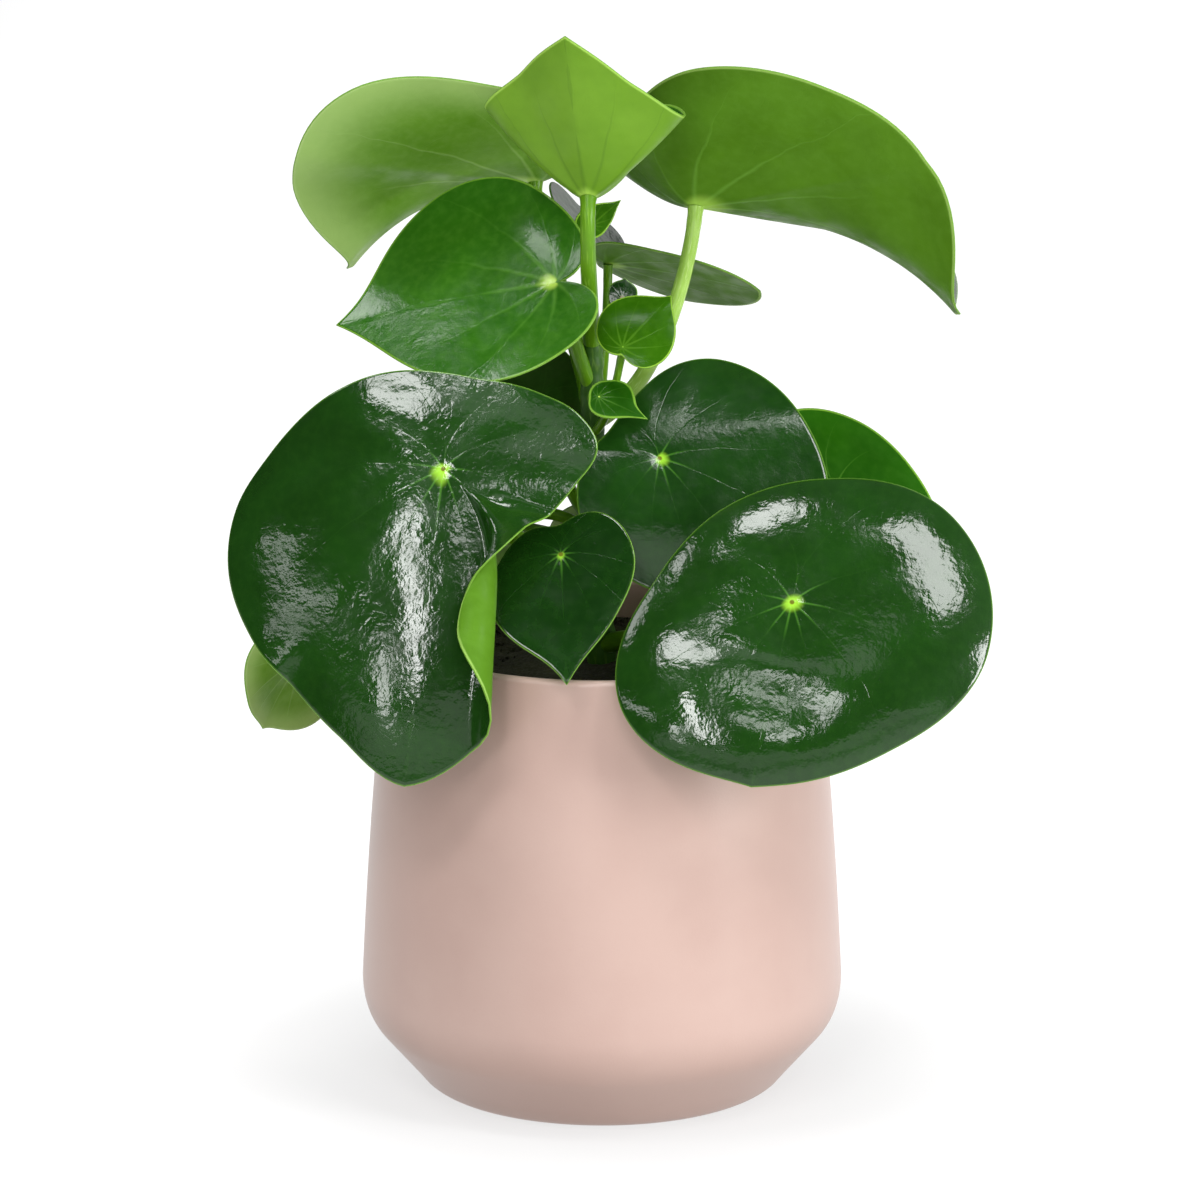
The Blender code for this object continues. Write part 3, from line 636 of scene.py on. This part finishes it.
def rim_normal(leaf, turns):
    """Which way the flat rim looks at each turn, read over 6 degrees to either side of it."""
    before, after = (spokes_at(w) * reach_at(leaf, w) for w in (turns - 6, turns + 6))
    along = after - before
    normal = np.stack([along[1], -along[0]])
    return normal / np.hypot(*normal)


def blade_axes(leaf):
    """Towards the tip, across the blade, and out of its upper face."""
    azimuth, elevation = (math.radians(v) for v in leaf["facing"])
    level = Vector((math.sin(azimuth), -math.cos(azimuth), 0))
    up = Vector((0, 0, 1))
    normal = math.cos(elevation) * level + math.sin(elevation) * up
    downhill = math.sin(elevation) * level - math.cos(elevation) * up
    turn = math.radians(leaf["tip"])
    tip = math.cos(turn) * downhill + math.sin(turn) * normal.cross(downhill)
    return tip, normal.cross(tip), normal


def blade_points(leaf, turns, shares):
    """Points of the upper face: turns are round the blade from its tip, shares are from stalk to rim."""
    reach = reach_at(leaf, turns)
    bend = np.radians(round_values(leaf["bend"], turns))
    onset = np.where(bend > 0, leaf.get("fold", 1.0), leaf.get("droop", DROOP_ONSET))
    # along each turn the blade is an arc, added up from short straight steps
    steps = (np.arange(ARC_STEPS) + 0.5) / ARC_STEPS * shares[:, None]
    slopes = bend[:, None] * steps ** onset[:, None]
    stride = reach * shares / ARC_STEPS
    out = stride * np.cos(slopes).sum(1)
    lift = stride * np.sin(slopes).sum(1)
    spoke = spokes_at(turns)
    flat = spoke * out
    if "curl" in leaf:
        # the margin rolls up over its width, more where its curl is stronger
        normal = rim_normal(leaf, turns)
        curl = np.radians(np.maximum(round_values(leaf["curl"], turns), 0)) + 1e-6
        radius = leaf["margin"] / curl
        from_rim = (1 - shares) * reach * (spoke * normal).sum(0)
        rolled = np.maximum(leaf["margin"] - from_rim, 0)
        back = radius * np.sin(rolled / radius) - rolled
        rise = radius * (1 - np.cos(rolled / radius))
        slope = bend * shares**onset
        flat = flat + normal * (back * np.cos(slope) - rise * np.sin(slope))
        lift = lift + back * np.sin(slope) + rise * np.cos(slope)
    tip, across, up = (np.array(axis) for axis in blade_axes(leaf))
    return np.array(leaf["at"]) + np.outer(flat[0], tip) + np.outer(flat[1], across) + np.outer(lift, up)


def veins_around(turns, shares, reach):
    """How far points of the flat blade are from the nearest main vein, and half the room between the veins
    on either side of them, in mm."""
    half = np.minimum(turns % 360, 360 - turns % 360) / 180
    place = half * (1 + VEIN_LEAN * shares)
    veins = np.array(VEINS)
    near = np.abs(place[:, None] - veins[None]).min(1)
    after = np.clip(np.searchsorted(veins, place), 1, len(veins) - 1)
    room = (veins[after] - veins[after - 1]) / 2 * math.pi * reach * shares + 1e-6
    return near * math.pi * reach * shares, room


def relief(name, flat, turns, shares, reach, quilting):
    """How far the skin rises over the plain blade: panels that swell between the veins, and soft puckers."""
    seed = Vector((sum(map(ord, name)) % 97, len(name) * 3.1, 0))
    away, room = veins_around(turns, shares, reach)
    middle = np.clip(away / room, 0, 1)
    middle = middle**2 * (3 - 2 * middle)
    # panels swell away from stalk and rim, puckers keep off the stalk and calm down just at the rim
    swell = np.clip(shares * 2.2, 0, 1) * np.clip((1 - shares) * 3, 0, 1)
    loose = np.clip((1 - shares) * 6 + 0.2, 0, 1) * np.clip(shares * 5, 0, 1)
    broad, fine = (
        np.array([noise.noise(Vector((x * waves, y * waves, layer)) + seed) for x, y in flat])
        for waves, layer in PUCKER_WAVES
    )
    puckers = BROAD_LIFT * broad * loose, FINE_LIFT * fine * loose
    rise = quilting * (PANEL_LIFT * room * middle * swell + puckers[0] + puckers[1])
    if name in STEPS:
        spot, along, across, drop = STEPS[name]
        down, side = ((flat - spot) / (along, across)).T
        rise = rise - drop * down * np.exp(-(down**2) - side**2)
    return rise


def skin_normals(rings, centre):
    """Which way each point of a blade's rings looks, from its neighbours on its spoke and its ring."""
    inner = np.concatenate([np.broadcast_to(centre, (1, rings.shape[1], 3)), rings[:-1]])
    outer = np.concatenate([rings[1:], 2 * rings[-1:] - rings[-2:-1]])
    around = np.roll(rings, -1, 1) - np.roll(rings, 1, 1)
    normals = np.cross(outer - inner, around)
    return normals / np.linalg.norm(normals, axis=2, keepdims=True)


def blade_faces(spokes, rings):
    """Faces from one middle over the rim to the other, and their slots: 0 is the upper skin, 1 the rim and 2
    the underside."""
    count = 2 * rings + len(RIM_ROUND)
    last = 1 + count * spokes
    faces, slots = [], []
    for k in range(spokes):
        n = (k + 1) % spokes
        faces.append((0, 1 + k, 1 + n))
        slots.append(0)
        for ring in range(count - 1):
            a = 1 + ring * spokes
            faces.append((a + k, a + spokes + k, a + spokes + n, a + n))
            slots.append(0 if ring < rings - 1 else 2 if ring >= rings + len(RIM_ROUND) else 1)
        a = last - spokes
        faces.append((a + k, last, a + n))
        slots.append(2)
    return faces, slots


def blade_piece(name, leaf, skins):
    """Both skins and the rim of one blade as a single closed mesh, from the middle of one face over the rim
    to the middle of the other."""
    _, top_name, under_name, quilting, spokes, rings = LOOKS[name]
    # rings stand a little closer together towards the rim
    ring_shares = (np.arange(1, rings + 1) / rings) ** 0.92
    shares = np.repeat(ring_shares, spokes)
    turns = np.tile(np.arange(spokes) * 360 / spokes, rings)
    reach = reach_at(leaf, turns)
    centre = np.array(leaf["at"], float)
    up = np.array(blade_axes(leaf)[2])
    plain = blade_points(leaf, turns, shares).reshape(rings, spokes, 3)
    normals = skin_normals(plain, centre)
    flat = spokes_at(turns).T * (shares * reach)[:, None]
    rise = relief(name, flat, turns, shares, reach, quilting).reshape(rings, spokes, 1)
    # the skin dips over the stalk, less on a small blade
    dip = DIMPLE_DEPTH * min(1, reach.mean() / 50)
    dimple = dip * np.exp(-((shares * reach / DIMPLE_RADIUS) ** 2)).reshape(rings, spokes, 1)
    thick = BLADE_THICKNESS + (RIM_THICKNESS - BLADE_THICKNESS) * ring_shares[:, None, None] ** 2
    top = plain + normals * (rise - dimple)
    under = plain + normals * (rise - thick)
    away = plain[-1] - plain[-2]
    away /= np.linalg.norm(away, axis=1, keepdims=True)
    rim = [top[-1] * (1 - part) + under[-1] * part + away * push * RIM_THICKNESS for part, push in RIM_ROUND]
    sheets = np.concatenate([top, np.stack(rim), under[::-1]]).reshape(-1, 3)
    verts = np.concatenate([[centre - up * dip], sheets, [centre - up * BLADE_THICKNESS]]) * MM
    faces, slots = blade_faces(spokes, rings)
    mesh = bpy.data.meshes.new(f"Leaf_{name}")
    mesh.from_pydata([tuple(v) for v in verts], [], faces)
    mesh.polygons.foreach_set("material_index", slots)
    # both skins carry the same two maps, and the rim carries their outermost values
    corners = np.empty(len(mesh.loops), int)
    mesh.loops.foreach_get("vertex_index", corners)
    plane = flat.reshape(rings, spokes, 2) / MAP_MM
    edge = np.stack([shares, (1 - shares) * reach / MAP_MM], 1).reshape(rings, spokes, 2)
    over_stalk = (0, reach.mean() / MAP_MM)
    for label, values, middle in (("LeafPlane", plane, (0, 0)), ("LeafEdge", edge, over_stalk)):
        rim_values = np.repeat(values[-1:], len(RIM_ROUND), 0)
        layered = np.concatenate([values, rim_values, values[::-1]]).reshape(-1, 2)
        per_vert = np.concatenate([[middle], layered, [middle]])
        mesh.uv_layers.new(name=label).data.foreach_set("uv", per_vert[corners].astype(np.float32).ravel())
    for skin in (top_name, "rim", under_name):
        mesh.materials.append(skins[skin])
    mesh.shade_smooth()
    mesh.validate()
    return put(f"Leaf_{name}", mesh)


# Stem and stalks, swept by Geometry Nodes


def new_tree(name, inputs, output):
    """An empty geometry tree, what adds a node to it, and its inputs. Each input is given by its name, its
    kind of socket and its value."""
    tree = bpy.data.node_groups.new(name, "GeometryNodeTree")
    for label, kind, value in inputs:
        socket = tree.interface.new_socket(label, in_out="INPUT", socket_type=f"NodeSocket{kind}")
        if value is not None:
            socket.default_value = value
    tree.interface.new_socket(output, in_out="OUTPUT", socket_type="NodeSocketGeometry")
    new = partial(node, tree)
    return tree, new, new("NodeGroupInput", out=None).outputs


def end_tree(tree, made, skin):
    """Closes a tree: instances become real and get their skin."""
    real = node(tree, "GeometryNodeRealizeInstances", made)
    done = node(tree, "GeometryNodeSetMaterial", {"Geometry": real, "Material": skin})
    node(tree, "NodeGroupOutput", done, out=None)
    return tree


def sweep_tree():
    """Sweeps a round section along a line of points; each point carries its own radius in metres."""
    inputs = (
        ("Line", "Geometry", None),
        ("Sides", "Int", 16),
        ("Ripple", "Float", 0.12 * MM),
        ("Skin", "Material", None),
    )
    tree, new, given = new_tree("RoundSweep", inputs, "Sweep")
    line = new("GeometryNodeMeshToCurve", given["Line"])
    run = new("GeometryNodeSplineParameter", out="Length")
    kept = {"data_type": "FLOAT", "domain": "POINT"}
    line = new("store", {"Geometry": line, "Name": "run", "Value": run}, **kept)
    circle = new("GeometryNodeCurvePrimitiveCircle", {"Resolution": given["Sides"], "Radius": 1.0})
    turn = new("GeometryNodeSplineParameter", out="Factor")
    section = new("store", {"Geometry": circle, "Name": "turn", "Value": turn}, **kept)
    radius = new("read", "radius_m")
    swept = new("GeometryNodeCurveToMesh", {0: line, 1: section, "Scale": radius, "Fill Caps": True})
    along = new("read", "run")
    about = new("read", "turn")
    # the map runs 10 mm of stalk to a unit, and once round the stalk is a unit too
    both = new("ShaderNodeCombineXYZ", new("multiply", along, 100.0), about)
    mapped = {"Geometry": swept, "Name": "StalkRun", "Value": both}
    mapped = new("store", mapped, data_type="FLOAT2", domain="CORNER")
    wobble = new("noise", {"Scale": RIPPLE_CELLS, "Detail": 2.0})
    amount = new("multiply", new("subtract", wobble, 0.5), given["Ripple"])
    push = new("scale", new("GeometryNodeInputNormal"), amount)
    rippled = new("GeometryNodeSetPosition", {"Geometry": mapped, "Offset": push})
    return end_tree(tree, new("GeometryNodeSetShadeSmooth", rippled), given["Skin"])


def harden(thing):
    """Turns what a piece's modifier makes into its own plain mesh, and drops the mesh it started from."""
    graph = bpy.context.evaluated_depsgraph_get()
    mesh = bpy.data.meshes.new_from_object(thing.evaluated_get(graph))
    start = thing.data
    thing.modifiers.clear()
    thing.data = mesh
    bpy.data.meshes.remove(start)
    mesh.name = thing.name
    return mesh


def grown(name, base, tree, inputs):
    """What a tree grows on a base, as a plain piece."""
    seed = put(name, base)
    modifier = seed.modifiers.new("Grow", "NODES")
    modifier.node_group = tree
    for socket in tree.interface.items_tree:
        if socket.name in inputs:
            modifier[socket.identifier] = inputs[socket.name]
    harden(seed)
    return seed


def chain(name, points):
    """A chain of points in metres as a mesh of edges."""
    mesh = bpy.data.meshes.new(name)
    mesh.from_pydata(points, [(k, k + 1) for k in range(len(points) - 1)], [])
    return mesh


def line_mesh(name, points, radii):
    """A chain of points in mm, which carries a radius in metres at each."""
    mesh = chain(name, [tuple(Vector(p) * MM) for p in points])
    radius = mesh.attributes.new("radius_m", "FLOAT", "POINT")
    radius.data.foreach_set("value", [r * MM for r in radii])
    return mesh


def stem_middle(height):
    """The middle of the stem at a height."""
    heights = [p[2] for p in STEM_POINTS]
    return Vector([np.interp(height, heights, [p[k] for p in STEM_POINTS]) for k in range(3)])


def stem_line():
    """The stem, which swells into a ring at each stalk and ends in a rounded top."""
    heights = np.linspace(STEM_POINTS[0][2], STEM_POINTS[-1][2], STEM_STEPS)
    plain = np.interp(heights, [p[2] for p in STEM_POINTS], STEM_RADII)
    radii = plain
    for leaf in LEAVES.values():
        radii = radii + RING_SWELL * np.exp(-(((heights - leaf["base"] + 2) / 1.3) ** 2))
    radii = np.minimum(radii, plain + RING_LIMIT)
    # soften the straight stretches between the given points
    points = np.array([stem_middle(h) for h in heights])
    kernel = np.ones(STEM_SOFTENING) / STEM_SOFTENING
    pad = STEM_SOFTENING // 2
    padded = np.concatenate([points[:1].repeat(pad, 0), points, points[-1:].repeat(pad, 0)])
    points[:, :2] = np.stack([np.convolve(padded[:, k], kernel, "valid") for k in range(2)], 1)
    points = list(points) + [points[-1] + np.array([0, 0, step]) for step, _ in STEM_TOP]
    radii = list(radii) + [radii[-1] * share for _, share in STEM_TOP]
    return line_mesh("MainStem", points, radii)


def stalk_line(name, leaf):
    """From inside the stem up to the blade, thicker at the stem and flared at the blade."""
    start = stem_middle(leaf["base"])
    normal = blade_axes(leaf)[2]
    under = Vector(leaf.get("arrive", -normal)).normalized()
    slant = math.sqrt(1 - min(under.dot(normal) ** 2, 1))
    # the end stands just inside the blade, and lower where it comes in at a slant and would break through
    end = Vector(leaf["at"]) - normal * (BLADE_THICKNESS * 0.6 + leaf["stalk"] * slant * 0.6)
    span = (end - start).length
    outward = Vector((end.x - start.x, end.y - start.y, 0)).normalized()
    climb = math.radians(leaf.get("leave", STALK_CLIMB))
    leave = start + (outward * math.cos(climb) + Vector((0, 0, math.sin(climb)))) * span * 0.35
    arrive = end + under * span * 0.3
    points, radii = [], []
    for k in range(STALK_STEPS + 1):
        t = k / STALK_STEPS
        s = 1 - t
        points.append(start * s**3 + leave * 3 * s * s * t + arrive * 3 * s * t * t + end * t**3)
        # a cuff right under the blade, and a faint ring 5 mm below it
        flare = 0.22 * math.exp(-s * span / 2.0) + 0.06 * math.exp(-(((s * span - 5.0) / 1.2) ** 2))
        radii.append(leaf["stalk"] * (1 + (STALK_SWELL - 1) * s + flare))
    return line_mesh(name, points, radii)


# Pot and potting mix


def pot_profile():
    """Outer side from rim to foot, then floor and inside up to the rim again, as in the solid but finer."""
    belly = (BELLY_RADIUS, BELLY_HEIGHT)
    chamfer = (CHAMFER_TOP_RADIUS, CHAMFER_TOP_HEIGHT)
    outer = []
    for k in range(SIDE_STEPS + 1):
        t = k / SIDE_STEPS
        bow = t * (1 + POT_BULGE) - POT_BULGE * t * t
        height = POT_HEIGHT + (BELLY_HEIGHT - POT_HEIGHT) * t
        outer.append((RIM_RADIUS + (BELLY_RADIUS - RIM_RADIUS) * bow, height))
    # the belly turns in to the chamfer round the corner where their lines meet
    slope = CHAMFER_TOP_HEIGHT / (CHAMFER_TOP_RADIUS - FOOT_RADIUS)
    corner = (BELLY_RADIUS, (BELLY_RADIUS - FOOT_RADIUS) * slope)
    for k in range(1, BELLY_STEPS + 1):
        t = k / BELLY_STEPS
        s = 1 - t
        outer.append(tuple(s * s * a + 2 * s * t * b + t * t * c for a, b, c in zip(belly, corner, chamfer)))
    for k in range(1, CHAMFER_STEPS):
        t = k / CHAMFER_STEPS
        radius = CHAMFER_TOP_RADIUS + (FOOT_RADIUS + FOOT_ROUND - CHAMFER_TOP_RADIUS) * t
        outer.append((radius, CHAMFER_TOP_HEIGHT + (FOOT_ROUND * 1.2 - CHAMFER_TOP_HEIGHT) * t))
    for k in range(FOOT_STEPS + 1):
        t = k / FOOT_STEPS
        height = FOOT_ROUND * 1.1 * (1 - math.sin(t * math.pi / 2))
        outer.append((FOOT_RADIUS + FOOT_ROUND * (1 - 2 * t), height))
    inner = [(r - POT_WALL, z) for r, z in outer if z > CHAMFER_TOP_HEIGHT + 3]
    inner.append((CHAMFER_TOP_RADIUS - 2 * POT_WALL, POT_FLOOR + 3))
    inner.append((FOOT_RADIUS - POT_WALL, POT_FLOOR))
    lip = POT_WALL / 2
    rim = []
    for k in range(1, RIM_STEPS):
        turn = math.pi * k / RIM_STEPS
        rim.append((RIM_RADIUS - lip + lip * math.cos(turn), POT_HEIGHT - lip + lip * math.sin(turn)))
    outer[0] = (RIM_RADIUS, POT_HEIGHT - lip)
    inner[0] = (RIM_RADIUS - POT_WALL, POT_HEIGHT - lip)
    return [(0, POT_FLOOR)] + inner[::-1] + rim[::-1] + outer + [(0, 0)]


def turned(name, profile, skin, sides):
    """A profile turned about Z into a plain piece."""
    blank = put(name, chain(name, [(r * MM, 0, z * MM) for r, z in profile]))
    screw = blank.modifiers.new("Turn", "SCREW")
    screw.steps = sides
    screw.render_steps = sides
    screw.use_merge_vertices = True
    screw.merge_threshold = 1e-5
    screw.use_normal_calculate = False
    mesh = harden(blank)
    work = bmesh.new()
    work.from_mesh(mesh)
    bmesh.ops.remove_doubles(work, verts=work.verts, dist=1e-6)
    bmesh.ops.recalc_face_normals(work, faces=work.faces)
    work.to_mesh(mesh)
    work.free()
    mesh.materials.append(skin)
    mesh.shade_smooth()
    return blank


def soil_body(skin):
    """The filled pot's mix: a lumpy top inside the wall, over a plain plug."""
    profile = [(0, SOIL_TOP + SOIL_MOUND)]
    for k in range(1, SOIL_RINGS + 1):
        share = k / SOIL_RINGS
        profile.append((SOIL_RADIUS * share, SOIL_TOP + SOIL_MOUND * (1 - share * share)))
    profile += [(SOIL_RADIUS - 1, SOIL_TOP - SOIL_SKIRT), (SOIL_RADIUS * 0.8, SOIL_PLUG), (0, SOIL_PLUG)]
    body = turned("PottingMix", profile, skin, SOIL_SIDES)
    for vert in body.data.vertices:
        spot = vert.co / MM
        if spot.z > SOIL_TOP - 1:
            lump = noise.fractal(Vector((spot.x * LUMP_WAVES, spot.y * LUMP_WAVES, 3)), 1.0, 2.0, 4)
            edge = min(1.0, (SOIL_RADIUS - math.hypot(spot.x, spot.y)) / 6)
            vert.co.z += (lump - 0.3) * edge * MM
    return body


def crumb_tree():
    """Scatters crumbs of peat and bark over the top of the mix."""
    inputs = (
        ("Ground", "Geometry", None),
        ("Crumb size", "Float", CRUMB_SIZE * MM),
        ("Crumbs per square metre", "Float", 260000.0),
        ("Seed", "Int", 11),
        ("Peat", "Material", None),
    )
    tree, new, given = new_tree("PeatCrumbs", inputs, "Crumbs")
    strewn = {"Mesh": given["Ground"], "Density": given["Crumbs per square metre"], "Seed": given["Seed"]}
    dots = new("GeometryNodeDistributePointsOnFaces", strewn)
    crumb = new("GeometryNodeMeshIcoSphere", {"Radius": 0.5, "Subdivisions": 1})
    spin = new("random", {"Min": (0.0, 0.0, 0.0), "Max": (6.28, 6.28, 6.28), "Seed": given["Seed"]})
    size = new("random", {"Min": (0.35, 0.35, 0.25), "Max": (1.5, 1.1, 0.8), "Seed": 5})
    size = new("scale", size, given["Crumb size"])
    laid = {"Points": dots, "Instance": crumb, "Rotation": spin, "Scale": size}
    return end_tree(tree, new("GeometryNodeInstanceOnPoints", laid), given["Peat"])


def crumb_ground():
    """The top of the mix as a sheet for the crumbs to lie on."""
    disc = {"cap_ends": True, "radius": (RIM_RADIUS - POT_WALL - 1.5) * MM, "segments": 48}
    return sheet("CrumbGround", (SOIL_TOP + SOIL_MOUND * 0.45) * MM, bmesh.ops.create_circle, disc)


# Studio


def softbox(name, azimuth, elevation, width, height, radiance):
    """A soft light that looks at the plant. Its width and height are degrees as seen from the plant, and its
    radiance is set against a white floor of 1."""
    lamp = bpy.data.lights.new(name, "AREA")
    lamp.shape = "RECTANGLE"
    lamp.size = 2 * SOFTBOX_DISTANCE * math.tan(math.radians(width / 2))
    lamp.size_y = 2 * SOFTBOX_DISTANCE * math.tan(math.radians(height / 2))
    # an area light's watts are its radiance times its area times pi
    lamp.energy = radiance * lamp.size * lamp.size_y * math.pi
    holder = put(name, lamp)
    az, el = math.radians(azimuth), math.radians(elevation)
    away = Vector((math.sin(az) * math.cos(el), -math.cos(az) * math.cos(el), math.sin(el)))
    holder.location = Vector((0, 0, SOFTBOX_AIM)) + away * SOFTBOX_DISTANCE
    holder.rotation_euler = (-away).to_track_quat("-Z", "Y").to_euler()


def room():
    """A dim room, darkest to the left of the plant and lightest behind it and to its right."""
    world = bpy.data.worlds.new("Studio")
    world.use_nodes = True
    tree = world.node_tree
    new = partial(node, tree)
    parts = new("parts", new("place", out="Generated"), out=None).outputs
    behind = new("fade", parts[1], -0.3, 0.6)
    right = new("fade", parts[0], 0.3, 0.95)
    tone = new("mix", behind, "#303030", "#9c9c9c")
    left = new("fade", parts[0], -0.05, -0.5)
    tone = new("mix", left, tone, "#262626")
    fill(tree.nodes["Background"], {"Color": new("mix", right, tone, "#a8a8a8"), "Strength": 1.0})
    bpy.context.scene.world = world


def light_table():
    """Frosted acrylic lit from below, so it reads as a white floor. Its glow is dimmer where the pot
    stands, a painted contact shadow, and at its far left, which lights the pot's left side less."""
    made, new, shader = material("LitAcrylicTable", roughness=0.7, ior=1.49)
    where = new("place", out="Object")
    cloud = new("noise", where, 3.0)
    tone = new("mix", cloud, "#6a6a6a", "#6e6e6e")
    away = new("length", where)
    beside = new("parts", where, out="X")
    # painted shadow: the glow is dimmer round the pot's foot
    painted_contact_shadow = new("fade", away, 0.05, 0.17, 0.7, 1.0)
    lit = new("multiply", painted_contact_shadow, new("fade", beside, -0.8, -0.25, 0.3, 1.0))
    fill(shader, {"Base Color": tone, "Emission Color": "#ffffff", "Emission Strength": lit})
    top = {"x_segments": 1, "y_segments": 1, "size": TABLE_REACH}
    mesh = sheet("LightTable", TABLE_HEIGHT, bmesh.ops.create_grid, top)
    mesh.materials.append(made)
    put("LightTable", mesh)


def camera():
    """The photograph's view: from the front, 14 degrees above level, through a long lens."""
    lens = bpy.data.cameras.new("Camera")
    lens.sensor_width = SENSOR
    lens.lens = LENS
    lens.clip_end = 50
    eye = put("Camera", lens)
    elevation = math.radians(CAMERA_ELEVATION)
    aside, height = CAMERA_AIM
    back = -CAMERA_DISTANCE * math.cos(elevation)
    eye.location = (aside, back, height + CAMERA_DISTANCE * math.sin(elevation))
    eye.rotation_euler = (math.pi / 2 - elevation, 0, 0)
    bpy.context.scene.camera = eye


def settle(thing, solid):
    """A finished piece rides on the one body and stands for its solid, which is hidden."""
    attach(thing, "root")
    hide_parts(solid)


def main():
    """Grows the plant, turns its pot, fills it and lights it."""
    camera()
    skins = {key: leaf_skin(name, look) for key, (name, look) in SKINS.items()}
    skins["rim"] = rim_skin()
    stalk_skins = {key: stalk_skin(*look) for key, look in STALK_SKINS.items()}
    tree = sweep_tree()
    for name, leaf in LEAVES.items():
        settle(blade_piece(name, leaf, skins), f"blade_{name}")
        # the top right leaf's stalk takes the copy with painted light
        skin = stalk_skins["painted_lighter" if name == "top_right" else "green"]
        sizes = {"Sides": 20, "Ripple": 0.15 * MM, "Skin": skin}
        stalk = f"Stalk_{name}"
        settle(grown(stalk, stalk_line(stalk, leaf), tree, sizes), f"stalk_{name}")
    sizes = {"Sides": 28, "Ripple": 0.4 * MM, "Skin": stalk_skins["corky"]}
    settle(grown("MainStem", stem_line(), tree, sizes), "stem")
    settle(turned("Pot", pot_profile(), blush_ceramic(), POT_SIDES), "pot")
    peat = potting_mix()
    settle(soil_body(peat), "soil")
    crumbs = grown("PeatCrumbs", crumb_ground(), crumb_tree(), {"Peat": peat})
    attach(crumbs, "root")
    room()
    for box in SOFTBOXES:
        softbox(*box)
    light_table()
    bpy.context.scene.view_settings.view_transform = "Standard"


main()
